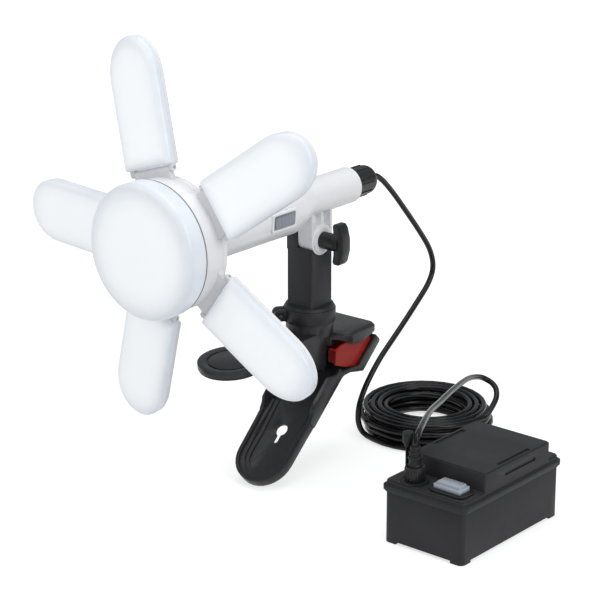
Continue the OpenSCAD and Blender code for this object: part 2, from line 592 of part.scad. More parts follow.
module lower_jaw() {
    lever_tray();
    lever_frame() color(dark) difference() {
        for (x = [-9.6, 7]) lower_lug(x);
        rod_x(-20, 20, jaw_pin_r + running);
    }
}
// a point of the clamp's Y-Z plane in the lever's frame
function to_lever(p) = let (y = p.x - lever_y, z = p.y - lever_z, c = cos(lever_tilt), s = sin(lever_tilt))
    [y * c + z * s, z * c - y * s];
module lower_grip_liner() lever_frame() color(red) difference() {
    union() {
        plate_x(-grip_w / 2 + 3.2, grip_w / 2 - 3.2, [[8.9, -30.9], [37.4, -30.9], [37.4, -24.6],
            [9.5, -24.6], [5.6, -26.9]]);
        for (x = [-grip_w / 2 + 4.1, grip_w / 2 - 6.5]) plate_x(x, x + 2.4, [for (p = [[2.6, -25.2], [10, -22.5],
            [20, -20.4], [46, -19], [51, -24], [53, -29], [33, -47], [18.4, -44.4], [2.6, -38.5]]) to_lever(p)]);
        for (x = [-grip_w / 2 + 4.9, 18.7]) plate_x(x, x + grip_w / 2 - 23.6, [for (p = [[3, -25.4],
            [5.6, -24.5], [5.6, -37.8], [3, -37]]) to_lever(p)]);
    }
    plate_x(-grip_w / 2 + 8, grip_w / 2 - 8, [[13, -26], [33, -26], [35, -24], [11, -24]]);
}
spring_turns = 4;
spring_path = [for (i = [0:8 * spring_turns]) let (a = 45 * i)
    [-5.4 + 10.8 * i / (8 * spring_turns), 4.6 * cos(a), 4.6 * sin(a)]];
module jaw_spring() lever_frame() color(steel)
    tube(concat([[-5.4, 4.6, -7]], [[-5.4, 4.6, -3]], spring_path, [[5.4, 4.6, 3]], [[5.4, 4.6, 7]]), 0.9, 6);

// battery box

module battery_case() box_frame() color(dark) difference() {
    slab(box_w, box_l, 5, -ground, rim_z - 1);
    slab(box_w - 2 * box_wall, box_l - 2 * box_wall, 3, -ground + 2.2 + box_wall, rim_z);
    for (s = [[1, 0], [0, 1]]) translate([-s.x * (box_w / 2 - 12) - s.y * box_w, -s.y * (box_l / 2 - 12) - s.x * box_l,
        -ground - 1]) cube([s.x * (box_w - 24) + s.y * 2 * box_w, s.y * (box_l - 24) + s.x * 2 * box_l, 3.2]);
}
module lid_seal() box_frame() color(black) difference() {
    slab(box_w - 0.6, box_l - 0.6, 4.7, rim_z - 1, rim_z);
    slab(box_w - 4.4, box_l - 4.4, 3, rim_z - 2, rim_z + 1);
}
deck_front = -box_l / 2 + 29.2;
deck_back = box_l / 2 - 15;
module deck_block(inset, z0, z1) translate([2.2, (deck_front + deck_back) / 2, 0])
    slab(box_w - 4.4 - 2 * inset, deck_back - deck_front - 2 * inset, 2, z0, z1);
module battery_lid() box_frame() color(dark) difference() {
    union() {
        slab(box_w + 4.6, box_l + 4.6, 6, rim_z, rim_z + 4);
        slab(box_w + 2.4, box_l + 2.4, 6, rim_z - 1.6, rim_z + 5);
        slab(box_w, box_l, 5, rim_z, lid_z - 1);
        slab(box_w - 2, box_l - 2, 4, lid_z - 2, lid_z);
        deck_block(0, lid_z - 1, deck_z - 1);
        deck_block(1, deck_z - 2, deck_z);
    }
    slab(box_w + 0.2, box_l + 0.2, 5.1, rim_z - 3, rim_z);
    slab(box_w - 2 * box_wall, box_l - 2 * box_wall, 3, rim_z - 1, lid_z - box_wall);
    deck_block(box_wall, rim_z, deck_z - box_wall);
    translate([-box_w / 2 + 7.6, deck_front + 26, deck_z - 1.4]) cube([4.6, 40, 3]);
    translate([box_w / 2 - 5.8, deck_front + 23, deck_z - 1.4]) cube([3.4, 43.5, 3]);
    translate([box_w / 2 - 1.4, deck_front + 27.6, deck_z - 10.2]) cube([3, 43, 2.8]);
    translate([inlet_x - box_x, inlet_y - box_y, rim_z]) cylinder(r = 5.9, h = 20);
}
module cell_holder() box_frame() color(black) difference() {
    slab(2 * cell_r + 2 * cell_r + 4, 2 * cell_len + 5, 2, -ground + 2.2 + box_wall, -ground + 14);
    for (s = [-1, 1], t = [-1, 1]) translate([s * (cell_r + 0.3), t * (cell_len / 2 + 0.6), -ground + 6 + cell_r])
        rotate([90, 0, 0]) cylinder(r = cell_r + 0.1, h = cell_len + 0.4, center = true);
}
module battery_cells() box_frame() color(steel) for (s = [-1, 1], t = [-1, 1])
    translate([s * (cell_r + 0.3), t * (cell_len / 2 + 0.6), -ground + 6 + cell_r]) rotate([90, 0, 0]) {
        cylinder(r = cell_r, h = cell_len - 2, center = true);
        translate([0, 0, cell_len / 2 - 1.1]) cylinder(r = 4.5, h = 1);
    }
module box_switch_bezel() placed() color(black) translate([switch_x, switch_y, 0]) difference() {
    slab(35, 20, 6, lid_z, lid_z + 2.2);
    slab(27, 15, 1.5, lid_z + 0.6, lid_z + 3);
}
module box_button() placed() color(clear_grey) translate([switch_x, switch_y, 0]) union() {
    slab(26.4, 14.4, 1.2, lid_z + 2.3, lid_z + 6);
    slab(22, 11, 1.2, lid_z + 6, lid_z + 8);
}
module inlet_frame() placed() translate([inlet_x, inlet_y, 0]) children();
module inlet_socket() inlet_frame() color(black) union() {
    translate([0, 0, lid_z]) cylinder(r = 9.5, h = 1.2);
    translate([0, 0, lid_z - 8]) cylinder(r = 5.85, h = 16);
}
nut_low = lid_z + 1.5;
module plug_nut() inlet_frame() color(black) difference() {
    union() {
        translate([0, 0, nut_low]) cylinder(r = 8.1, h = 12);
        for (i = [1:18]) rotate([0, 0, 20 * i]) translate([7.4, -0.7, nut_low + 1]) cube([1.2, 1.4, 9.6]);
    }
    translate([0, 0, nut_low - 1]) cylinder(r = 5.9, h = 14);
}
module plug_body() inlet_frame() color(black) rotate_extrude() polygon([[0, lid_z + 8.1], [5.85, lid_z + 8.1],
    [5.85, nut_low + 13], [5.2, nut_low + 14], [5.2, -57], [6, -56.5], [6, -54.5], [4.8, -54], [4.8, -52.5],
    [5.4, -52], [5.4, -50.5], [4.2, -50], [4.2, -48.5], [4.6, -48], [4.2, plug_top], [0, plug_top]]);
module dust_cap() inlet_frame() color(black) union() {
    difference() {
        translate([0, 0, lid_z]) cylinder(r = 11.8, h = 1.2);
        translate([0, 0, lid_z - 1]) cylinder(r = 9.6, h = 4);
    }
    rotate([0, 0, -19]) {
        translate([-11.4, -2, lid_z]) cube([1.2, 4, 30]);
        translate([-10.8, 0, lid_z + 27]) cylinder(r = 3, h = 4);
        translate([-10.8, 0, lid_z + 30]) cylinder(r = 4.5, h = 9);
    }
}

// cord

module cord_coil() placed() color(black) tube(coil_path, cord_r, 6);
module cord_upper() placed() color(black) tube(smoothed(upper_route), cord_r, 8);
module cord_lower() placed() color(black) tube(smoothed(lower_route), cord_r, 8);

post();
post_retainer();
tilt_nut();
battery_case();
battery_lid();
lid_seal();
cell_holder();
battery_cells();
box_switch_bezel();
inlet_socket();
plug_body();
dust_cap();
cord_coil();
cord_upper();
cord_lower();
plug_nut();
box_button();
upper_jaw();
upper_grip_liner();
jaw_pad();
swivel_collar();
collar_screw();
lower_jaw();
lower_grip_liner();
jaw_pin();
jaw_spring();
tilt_knob();
tilt_bolt();
barrel();
cord_gland();
hub_ring();
main_lens();
led_board_main();
driver_board();
head_switch_frame();
leaf_pins();
head_button();
leaf_shell_1();
leaf_lens_1();
leaf_board_1();
leaf_shell_2();
leaf_lens_2();
leaf_board_2();
leaf_shell_3();
leaf_lens_3();
leaf_board_3();
leaf_shell_4();
leaf_lens_4();
leaf_board_4();
leaf_shell_5();
leaf_lens_5();
leaf_board_5();
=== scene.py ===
"""Clip-on work light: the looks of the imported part, in metres, in the part's own frame."""

import math

import bmesh
import bpy
from mathutils import Matrix, Vector


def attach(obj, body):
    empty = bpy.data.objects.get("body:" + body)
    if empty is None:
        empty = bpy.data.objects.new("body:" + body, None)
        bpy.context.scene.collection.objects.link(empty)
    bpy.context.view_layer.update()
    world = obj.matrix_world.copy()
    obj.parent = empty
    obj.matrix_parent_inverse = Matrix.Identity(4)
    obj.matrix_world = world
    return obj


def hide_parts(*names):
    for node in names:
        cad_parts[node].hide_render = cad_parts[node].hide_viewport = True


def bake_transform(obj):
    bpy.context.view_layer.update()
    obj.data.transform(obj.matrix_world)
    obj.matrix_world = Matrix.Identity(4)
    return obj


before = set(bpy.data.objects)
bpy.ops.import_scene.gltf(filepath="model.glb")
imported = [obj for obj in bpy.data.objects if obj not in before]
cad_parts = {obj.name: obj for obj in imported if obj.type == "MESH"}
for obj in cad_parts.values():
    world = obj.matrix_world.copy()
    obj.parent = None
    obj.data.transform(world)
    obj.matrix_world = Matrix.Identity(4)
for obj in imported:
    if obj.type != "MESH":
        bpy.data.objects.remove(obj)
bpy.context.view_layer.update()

MM = 0.001
LEAVES = range(1, 6)
# the post's axis at the top of the clamp, in the part's frame
POST = Vector((-37.74, 66, 131.5)) * MM


def at(x, y, z):
    """A point given in millimetres from the top of the clamp on the post axis."""
    return POST + Vector((x, y, z)) * MM


# camera, set by the photograph, in degrees, metres and pixels

AZIMUTH = 40.075
ELEVATION = 18.564
DISTANCE = 1.9814
FOCAL_PIXELS = 2262.0
IMAGE = 598
# in millimetres
SENSOR = 36
CAMERA_REACH = 20
# pixel of the photograph where the post's axis meets the top of the clamp
POST_PIXEL = (309.5, 318.5)


def make_camera():
    a, e = math.radians(AZIMUTH), math.radians(ELEVATION)
    forward = Vector((-math.sin(a) * math.cos(e), math.cos(a) * math.cos(e), -math.sin(e)))
    right = Vector((math.cos(a), math.sin(a), 0))
    up = right.cross(forward)
    x = (POST_PIXEL[0] - IMAGE / 2) / FOCAL_PIXELS * DISTANCE
    y = (IMAGE / 2 - POST_PIXEL[1]) / FOCAL_PIXELS * DISTANCE
    data = bpy.data.cameras.new("camera")
    data.sensor_width = SENSOR
    data.lens = FOCAL_PIXELS / IMAGE * SENSOR
    data.clip_end = CAMERA_REACH
    cam = bpy.data.objects.new("camera", data)
    bpy.context.scene.collection.objects.link(cam)
    turn = Matrix((right, up, -forward)).transposed().to_4x4()
    cam.matrix_world = Matrix.Translation(POST - x * right - y * up - DISTANCE * forward) @ turn
    bpy.context.scene.camera = cam


make_camera()

# meshes

# points closer than this are joined, in metres
WELD = 0.00002
# an edge that bends by more degrees than this gets a rounded edge
SHARP = 32


def link(name, mesh, body=None):
    obj = bpy.data.objects.new(name, mesh)
    bpy.context.scene.collection.objects.link(obj)
    if body:
        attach(obj, body)
    return obj


def mesh_of(name, points, faces):
    mesh = bpy.data.meshes.new(name)
    mesh.from_pydata([tuple(p) for p in points], [], faces)
    mesh.update()
    return mesh


def bridge(low, high, count, flip=False):
    """Faces between two rings of count points, each given by the index of its first point."""
    faces = []
    for j in range(count):
        m = (j + 1) % count
        if flip:
            faces.append((low + j, high + j, high + m, low + m))
        else:
            faces.append((low + j, low + m, high + m, high + j))
    return faces


def smooth(obj, degrees):
    obj.data.polygons.foreach_set("use_smooth", [True] * len(obj.data.polygons))
    obj.data.set_sharp_from_angle(angle=math.radians(degrees))


def soften(obj, width):
    """Rounds the sharp edges of a moulded piece, by a width in millimetres."""
    weld = obj.modifiers.new("weld", "WELD")
    weld.merge_threshold = WELD
    bevel = obj.modifiers.new("bevel", "BEVEL")
    bevel.width = width * MM
    bevel.segments = 2
    bevel.limit_method = "ANGLE"
    bevel.angle_limit = math.radians(SHARP)
    bevel.use_clamp_overlap = True
    bevel.harden_normals = True


# materials


def new_material(name):
    material = bpy.data.materials.new(name)
    material.use_nodes = True
    nodes = material.node_tree.nodes
    return material, nodes, material.node_tree.links, nodes["Principled BSDF"]


def coords(nodes, links, scale):
    """Places in the piece's own space, scaled, so that noise of scale 1 has so many cells to a metre."""
    place = nodes.new("ShaderNodeTexCoord")
    mapping = nodes.new("ShaderNodeMapping")
    mapping.inputs["Scale"].default_value = (scale, scale, scale)
    links.new(place.outputs["Object"], mapping.inputs["Vector"])
    return mapping.outputs["Vector"]


def noise(nodes, links, scale, detail=4, rough=0.55):
    tex = nodes.new("ShaderNodeTexNoise")
    tex.inputs["Scale"].default_value = 1.0
    tex.inputs["Detail"].default_value = detail
    tex.inputs["Roughness"].default_value = rough
    links.new(coords(nodes, links, scale), tex.inputs["Vector"])
    return tex.outputs["Fac"]


def ramp(nodes, links, source, stops):
    """Colours by the source, from pairs of a place and a colour."""
    node = nodes.new("ShaderNodeValToRGB")
    links.new(source, node.inputs["Fac"])
    while len(node.color_ramp.elements) < len(stops):
        node.color_ramp.elements.new(0.5)
    for element, (place, colour) in zip(node.color_ramp.elements, stops):
        element.position = place
        element.color = (*colour, 1)
    return node.outputs["Color"]


def span(nodes, links, source, low, high, start=0.0, end=1.0):
    """Maps the source from start..end to low..high."""
    node = nodes.new("ShaderNodeMapRange")
    node.inputs["From Min"].default_value = start
    node.inputs["From Max"].default_value = end
    node.inputs["To Min"].default_value = low
    node.inputs["To Max"].default_value = high
    links.new(source, node.inputs["Value"])
    return node.outputs["Result"]


def bump(nodes, links, height, strength, distance, below=None):
    node = nodes.new("ShaderNodeBump")
    node.inputs["Strength"].default_value = strength
    node.inputs["Distance"].default_value = distance
    links.new(height, node.inputs["Height"])
    if below is not None:
        links.new(below, node.inputs["Normal"])
    return node.outputs["Normal"]


def shade(colour, factor):
    return tuple(c * factor for c in colour)


def moulded(name, colour, rough, grain, grain_depth, specular=0.5, drift=0.08, wave=0.0001):
    """Moulded plastic or rubber: fine grain, slow drift of colour and sheen, and shallow waves."""
    material, nodes, links, shader = new_material(name)
    tone = noise(nodes, links, 38, 3)
    links.new(ramp(nodes, links, tone, [(0.3, shade(colour, 1 - drift)), (0.7, shade(colour, 1 + drift))]),
              shader.inputs["Base Color"])
    wear = noise(nodes, links, 160, 5, 0.65)
    links.new(span(nodes, links, wear, *rough), shader.inputs["Roughness"])
    fine = noise(nodes, links, grain, 2, 0.5)
    waves = noise(nodes, links, 60, 2, 0.4)
    soft = bump(nodes, links, waves, 0.2, wave)
    links.new(bump(nodes, links, fine, 0.5, grain_depth, soft), shader.inputs["Normal"])
    shader.inputs["Specular IOR Level"].default_value = specular
    return material


def metal(name, colour, rough):
    """Plated steel with faint stains and a fine grain."""
    material, nodes, links, shader = new_material(name)
    shader.inputs["Metallic"].default_value = 1.0
    stain = noise(nodes, links, 220, 5)
    links.new(ramp(nodes, links, stain, [(0.3, shade(colour, 0.85)), (0.7, colour)]),
              shader.inputs["Base Color"])
    links.new(span(nodes, links, stain, *rough), shader.inputs["Roughness"])
    fine = noise(nodes, links, 2600, 2)
    links.new(bump(nodes, links, fine, 0.3, 0.00003), shader.inputs["Normal"])
    return material


def frosted(name, lit):
    """Frosted lens with painted light: an attribute, 1 in the middle of the face and 0 at its edge, makes
    its colour and emission a painted shine in the middle and a painted shade toward the edge.
    """
    material, nodes, links, shader = new_material(name)
    painted_glow = nodes.new("ShaderNodeAttribute")
    painted_glow.attribute_name = "painted_glow"
    cloud = noise(nodes, links, 45, 2)
    mix = nodes.new("ShaderNodeMath")
    mix.operation = "MULTIPLY_ADD"
    mix.inputs[1].default_value = 0.12
    links.new(cloud, mix.inputs[0])
    links.new(painted_glow.outputs["Fac"], mix.inputs[2])
    # painted shade: the tint darkens and turns bluer toward the face's edge, and lightens to a painted shine
    # in the middle
    tint = ramp(nodes, links, mix.outputs["Value"],
                [(0.0, (0.5, 0.53, 0.575)), (0.22, (0.66, 0.69, 0.72)), (0.6, (0.8, 0.825, 0.84)),
                 (1.0, (0.85, 0.87, 0.88))])
    links.new(tint, shader.inputs["Base Color"])
    # painted light: the lens shines by itself in the same tint, brighter in the middle
    links.new(tint, shader.inputs["Emission Color"])
    shader.inputs["Emission Strength"].default_value = lit
    shader.inputs["Subsurface Weight"].default_value = 0.15
    shader.inputs["Subsurface Radius"].default_value = (0.004, 0.004, 0.005)
    links.new(span(nodes, links, noise(nodes, links, 300, 4), 0.28, 0.4), shader.inputs["Roughness"])
    links.new(bump(nodes, links, noise(nodes, links, 1800, 2), 0.2, 0.00003), shader.inputs["Normal"])
    return material


def booted(name, colour, bands, contrast, direction):
    """Soft milky cap with a glossy skin and streaks across the given direction."""
    material, nodes, links, shader = new_material(name)
    streak = nodes.new("ShaderNodeTexWave")
    streak.bands_direction = direction
    streak.inputs["Scale"].default_value = 1.0
    streak.inputs["Distortion"].default_value = 1.5
    streak.inputs["Detail"].default_value = 2.0
    links.new(coords(nodes, links, bands), streak.inputs["Vector"])
    links.new(ramp(nodes, links, streak.outputs["Fac"],
                   [(0.1, shade(colour, 1 - contrast)), (0.9, shade(colour, 1 + contrast))]),
              shader.inputs["Base Color"])
    shader.inputs["Roughness"].default_value = 0.22
    shader.inputs["Coat Weight"].default_value = 0.6
    shader.inputs["Coat Roughness"].default_value = 0.1
    shader.inputs["Subsurface Weight"].default_value = 0.3
    shader.inputs["Subsurface Radius"].default_value = (0.002, 0.002, 0.003)
    links.new(bump(nodes, links, noise(nodes, links, 500, 3), 0.3, 0.0001), shader.inputs["Normal"])
    return material


WHITE = moulded("white_moulding", (0.8, 0.805, 0.82), rough=(0.32, 0.42), grain=1700, grain_depth=0.00002,
                drift=0.012, wave=0.00003)
POST_GREY = moulded("post_plastic", (0.017, 0.017, 0.019), rough=(0.42, 0.56), grain=1500,
                    grain_depth=0.00008, specular=0.33)
CLAMP_BLACK = moulded("clamp_plastic", (0.018, 0.018, 0.02), rough=(0.3, 0.42), grain=1300,
                      grain_depth=0.00008, specular=0.36)
BOX_BLACK = moulded("box_plastic", (0.019, 0.019, 0.021), rough=(0.46, 0.6), grain=1200,
                    grain_depth=0.0001, specular=0.28)
KNOB_BLACK = moulded("knob_plastic", (0.009, 0.009, 0.01), rough=(0.34, 0.48), grain=1500,
                     grain_depth=0.00006, specular=0.36)
RUBBER = moulded("black_rubber", (0.01, 0.01, 0.011), rough=(0.42, 0.6), grain=1000,
                 grain_depth=0.0001, specular=0.3)
CORD = moulded("cord_jacket", (0.004, 0.004, 0.005), rough=(0.2, 0.26), grain=900, grain_depth=0.00001,
               specular=0.27, drift=0.04, wave=0.00003)
RED = moulded("red_grip", (0.3, 0.016, 0.011), rough=(0.36, 0.5), grain=900, grain_depth=0.00008,
              specular=0.25)
BOARD = moulded("circuit_board", (0.04, 0.14, 0.07), rough=(0.3, 0.4), grain=800, grain_depth=0.00005)
# painted shadow: the dark grey of the ring at the lens's seam
SEAM_SHADE_GREY = moulded("seam_painted_shadow", (0.16, 0.16, 0.17), rough=(0.5, 0.6), grain=1000,
                    grain_depth=0.00005, specular=0.3)
STEEL = metal("plated_steel", (0.62, 0.62, 0.64), rough=(0.25, 0.4))
DARK_STEEL = metal("blackened_steel", (0.06, 0.06, 0.065), rough=(0.35, 0.5))
CELL = metal("cell_jacket", (0.4, 0.42, 0.46), rough=(0.25, 0.4))
# the strength of the lenses' painted shine
LENS = frosted("frosted_lens", lit=0.37)
CAP = booted("ribbed_cap", (0.16, 0.19, 0.24), bands=170, contrast=0.35, direction="Y")
CAP_LIGHT = booted("clear_cap", (0.3, 0.34, 0.39), bands=60, contrast=0.05, direction="Z")

# cord: one piece from the gland, through the coil, to the plug, in millimetres from the top of the clamp

CORD_R = 2.6
COIL = (37, 124)
COIL_R = 60
# turns in a layer of the coil, and the number of its top layer, where the lowest is 0
COIL_TURNS = 4
TOP_LAYER = 3
COIL_PITCH = 6.4
LAYER_PITCH = 7.0
# angle in degrees at which the coil starts
COIL_START = 255
# the part of a turn in which the cord climbs to the next layer
CLIMB = 0.5
# turns of the whole coil
COIL_END = 15.264
FLOOR_Z = -131.5 + CORD_R
# the gland's mouth, the inlet's axis and the top of the plug
GLAND = (2.6, 84, 111.5)
INLET = (181.8, -84.5)
PLUG_TOP = -46
COIL_STEPS = 480
CORD_STEPS = 6
CORD_SIDES = 14
CORD_SMOOTH = 50


def coil_point(turn):
    """A point of the coil, after so many turns. Odd layers run outward, the others inward."""
    layer = min(int(turn // COIL_TURNS), TOP_LAYER)
    inner = COIL_R - COIL_PITCH * (COIL_TURNS - CLIMB)
    step = turn - layer * COIL_TURNS
    run = min(step, COIL_TURNS - CLIMB)
    radius = COIL_R - COIL_PITCH * run if layer % 2 == 0 else inner + COIL_PITCH * run
    height = FLOOR_Z + LAYER_PITCH * (layer + max(step - COIL_TURNS + CLIMB, 0) / CLIMB)
    angle = math.radians(COIL_START + 360 * turn)
    return (COIL[0] + radius * math.cos(angle), COIL[1] + radius * math.sin(angle), height)


def tail(turn, sign):
    """A point one cord's width before or after an end of the coil, along its direction there."""
    angle = math.radians(COIL_START + 360 * turn)
    x, y, z = coil_point(turn)
    return (x - sign * 2 * CORD_R * math.sin(angle), y + sign * 2 * CORD_R * math.cos(angle), z)


COIL_IN = tail(0, -1)
COIL_OUT = tail(COIL_END, 1)
# the free stretches as the photograph shows them: from the gland to the coil, and from the coil to the plug
UPPER = [GLAND, (2.6, 89.2, 111.5), (3, 99.5, 104), (3, 116, 88), (3, 135, 66.5), (3, 155, 44.5),
         (3, 171, 23), (3, 176.5, 5), (3, 169.5, -9.5), (3, 152.5, -23), (3, 127.5, -42.5),
         (3, 98.5, -62), (3, 78, -82.5), (3, 67.5, -99), (2.8, 65.5, -112), (3.2, 66.8, -121),
         (6, 69, -127), (COIL_IN[0] - 5.02, COIL_IN[1] + 1.35, COIL_IN[2])]
LOWER = [(COIL_OUT[0] + 0.9, COIL_OUT[1] + 5.1, COIL_OUT[2] + 0.4), (98.5, 131, -107.5),
         (100, 140, -100), (99, 148, -92.5), (93, 155, -87), (85, 157.5, -84), (78.5, 152, -79.5),
         (80, 136, -74), (86.5, 118, -69.5), (96.5, 94, -64), (107, 70, -60), (118, 45, -55.5),
         (129, 20, -52), (137, 2, -48.5), (144.5, -15, -45.5), (153, -30, -42.5), (161.5, -45, -40),
         (170, -60, -38), (177.5, -74, -37), (INLET[0], -82.5, -39), (INLET[0], INLET[1], -42.5),
         (INLET[0], INLET[1], PLUG_TOP)]


def eased(points, steps):
    """A smooth curve through the given points, with so many steps between two of them."""
    out = []
    last = len(points) - 1
    for i in range(last):
        a, b, c, d = (Vector(points[max(0, min(last, i + k))]) for k in (-1, 0, 1, 2))
        for s in range(steps):
            t = s / steps
            out.append(0.5 * (2 * b + (c - a) * t + (2 * a - 5 * b + 4 * c - d) * t * t
                              + (3 * b - a - 3 * c + d) * t ** 3))
    out.append(Vector(points[last]))
    return out


def relaxed(points, passes=40, reach=0.8):
    """The same route drawn smooth: the ends stay, and no point ends further than reach from where it was."""
    start = points
    for _ in range(passes):
        middle = []
        for old, a, b, c in zip(start[1:], points, points[1:], points[2:]):
            move = b / 2 + (a + c) / 4 - old
            middle.append(old + move * min(1.0, reach / max(move.length, 0.001)))
        points = [start[0]] + middle + [start[-1]]
    return points


def tube(name, path, radius, sides):
    """A mesh tube round a path of points, with square ends."""
    points, faces = [], []
    side = None
    for i, p in enumerate(path):
        t = (path[min(i + 1, len(path) - 1)] - path[max(i - 1, 0)]).normalized()
        if side is None:
            side = t.cross(Vector((1, 0, 0))).normalized()
        side = (side - side.dot(t) * t).normalized()
        other = t.cross(side)
        for j in range(sides):
            a = 2 * math.pi * j / sides
            points.append(p + radius * (side * math.cos(a) + other * math.sin(a)))
    for i in range(len(path) - 1):
        faces += bridge(i * sides, (i + 1) * sides, sides)
    faces.append(tuple(range(sides - 1, -1, -1)))
    faces.append(tuple(range(len(points) - sides, len(points))))
    obj = link(name, mesh_of(name, points, faces))
    smooth(obj, CORD_SMOOTH)
    return obj


def make_cord():
    turns = [coil_point(COIL_END * i / COIL_STEPS) for i in range(COIL_STEPS + 1)]
    route = relaxed(eased(UPPER, CORD_STEPS)) + [Vector(COIL_IN)] + [Vector(p) for p in turns]
    route += [Vector(COIL_OUT)] + relaxed(eased(LOWER, CORD_STEPS))
    path = [at(*p) for p in route]
    cord = tube("cord", path, CORD_R * MM, CORD_SIDES)
    cord.data.materials.append(CORD)
    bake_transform(cord)
    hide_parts("cord_upper", "cord_coil", "cord_lower")


make_cord()

# frosted lenses of the leaves, in millimetres and degrees

# the head's axis, across and up from the top of the clamp
HEAD = (2.6, 111.5)
LEAF_TURN = -18
LEAF_STEP = 72
LEAF_FOLD = 6.5
LEAF_PLANE = -176.5
PIN_CIRCLE = 59
LEAF_BASE = 3.1
LEAF_LEN = 107
LEAF_W = 53.4
LEAF_TIP = 34
# the small corners beside the hinge
CORNER = 1.4
CORNER_CUT = 0.4
TIP_POWER = 0.95
BASE_STEPS = 5
SIDE_STEPS = 8
TIP_STEPS = 18
LENS_SMOOTH = 50
# inset from the sides, inset from the tip and height of each ring of a leaf's front
LEAF_RINGS = [(0.5, 0.5, 0), (0.5, 0.5, 0.35), (0, 0, 0.5), (0, 0, 3.3), (0.15, 0.25, 4.2), (0.5, 0.9, 5.2),
              (1.1, 2, 6.2), (2, 3.7, 6.95), (3.2, 6, 7.5), (5, 9, 7.9), (7.5, 13, 8.12)]
# the rings within those: how far toward the middle line, and their height
CROWN_RINGS = [(0.2, 8.17), (0.45, 8.2), (0.7, 8.2), (0.9, 8.2)]
# the middle line starts this far from the leaf's base
CROWN_START = 22
# inset at which the painted shine is full; nearer the edge it fades to painted shade
PAINTED_GLOW_INSET = 13


def leaf_place(k):
    """The place of leaf k: y along the leaf, z out of its front, from its hinge."""
    turn = Matrix.Rotation(math.radians(LEAF_TURN + LEAF_STEP * (k - 1)), 4, "Y")
    fold = Matrix.Rotation(math.radians(90 - LEAF_FOLD), 4, "X")
    hinge = Matrix.Translation(Vector((0, LEAF_PLANE, PIN_CIRCLE)) * MM)
    return Matrix.Translation(at(HEAD[0], 0, HEAD[1])) @ turn @ hinge @ fold


def leaf_ring(inset, tip_inset):
    """Closed outline of a leaf, drawn in from its sides and its tip."""
    w = LEAF_W / 2 - inset
    base = LEAF_BASE + inset
    tip = LEAF_BASE + LEAF_LEN - LEAF_TIP
    side = [Vector(((w - CORNER) * i / BASE_STEPS, base)) for i in range(BASE_STEPS + 1)]
    side += [Vector((w - CORNER_CUT, base + CORNER_CUT)), Vector((w, base + CORNER))]
    for i in range(1, SIDE_STEPS):
        side.append(Vector((w, base + CORNER + (tip - base - CORNER) * i / SIDE_STEPS)))
    for i in range(TIP_STEPS):
        a = math.radians(90 * i / TIP_STEPS)
        side.append(Vector((w * math.cos(a) ** TIP_POWER, tip + (LEAF_TIP - tip_inset) * math.sin(a))))
    top = Vector((0, tip + LEAF_TIP - tip_inset))
    mirror = [Vector((-p.x, p.y)) for p in reversed(side[1:])]
    return side + [top] + mirror


def leaf_rings():
    """Rings of points from the edge of a leaf's front to its middle line, with their painted shine, low at
    the edge as painted shade.
    """
    rings = []
    for inset, tip_inset, height in LEAF_RINGS:
        ring = [Vector((p.x, p.y, height)) for p in leaf_ring(inset, tip_inset)]
        # painted shine, low at the edge as painted shade
        rings.append((ring, min(1.0, inset / PAINTED_GLOW_INSET)))
    low, high = LEAF_BASE + CROWN_START, LEAF_BASE + LEAF_LEN - LEAF_TIP
    last = rings[-1][0]
    last_inset = LEAF_RINGS[-1][0]
    for part, height in CROWN_RINGS:
        ring = []
        for p in last:
            middle = Vector((0, max(low, min(high, p.y)), height))
            q = p.lerp(middle, part)
            ring.append(Vector((q.x, q.y, height)))
        rings.append((ring, min(1.0, last_inset / PAINTED_GLOW_INSET + part)))
    return rings


# painted light: one value a point, that makes the lens shine in its middle and shades its edge
def add_painted_glow(obj, painted_glow):
    values = obj.data.attributes.new("painted_glow", "FLOAT", "POINT")
    values.data.foreach_set("value", painted_glow)


def make_leaf_lens(k):
    place = leaf_place(k)
    points, faces, painted_glow = [], [], []
    rings = leaf_rings()
    for ring, lit in rings:
        points += [place @ (p * MM) for p in ring]
        painted_glow += [lit] * len(ring)
    n = len(rings[0][0])
    for r in range(len(rings) - 1):
        faces += bridge(r * n, (r + 1) * n, n)
    faces.append(tuple(range((len(rings) - 1) * n, len(rings) * n)))
    faces.append(tuple(reversed(range(n))))
    lens = link(f"leaf_front_{k}", mesh_of(f"leaf_front_{k}", points, faces), f"leaf_{k}")
    add_painted_glow(lens, painted_glow)
    lens.data.materials.append(LENS)
    smooth(lens, LENS_SMOOTH)
    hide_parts(f"leaf_lens_{k}")


for k in LEAVES:
    make_leaf_lens(k)

# round main lens, and a dark ring at its seam that is painted shadow

LENS_R = 56.5
LENS_FRONT = -216
LENS_SIDES = 128
# the round edge of the lens's face
FACE_R = 50.5
FACE_DROP = 1.4
EDGE_R = 6
# radius where the painted shine ends, and over how much it fades; the rim is left in painted shade
PAINTED_GLOW_R = 56
PAINTED_GLOW_FADE = 26
# coincident points in the middle of the lens are joined, in metres
JOIN = 0.00001
# profiles: radius, and distance behind the front of the lens
LENS_FACE = [(0, 0), (8, 0.03), (16, 0.13), (24, 0.3), (32, 0.53), (40, 0.86), (46, 1.1), (FACE_R, 1.45)]
LENS_EDGE = [(FACE_R + EDGE_R * math.sin(a), FACE_DROP + EDGE_R - EDGE_R * math.cos(a))
             for a in map(math.radians, (15, 30, 45, 60, 75, 90))]
LENS_WALL = [(LENS_R, 12), (LENS_R, 18.6), (56.1, 18.9), (55.9, 20), (54.3, 20)]
# the dark ring at the seam, a painted shadow: radius, and distance behind the front of the lens
SEAM_SHADOW_RING = [(54.4, 20.05), (56.1, 20.05), (56.1, 20.95), (54.4, 20.95)]


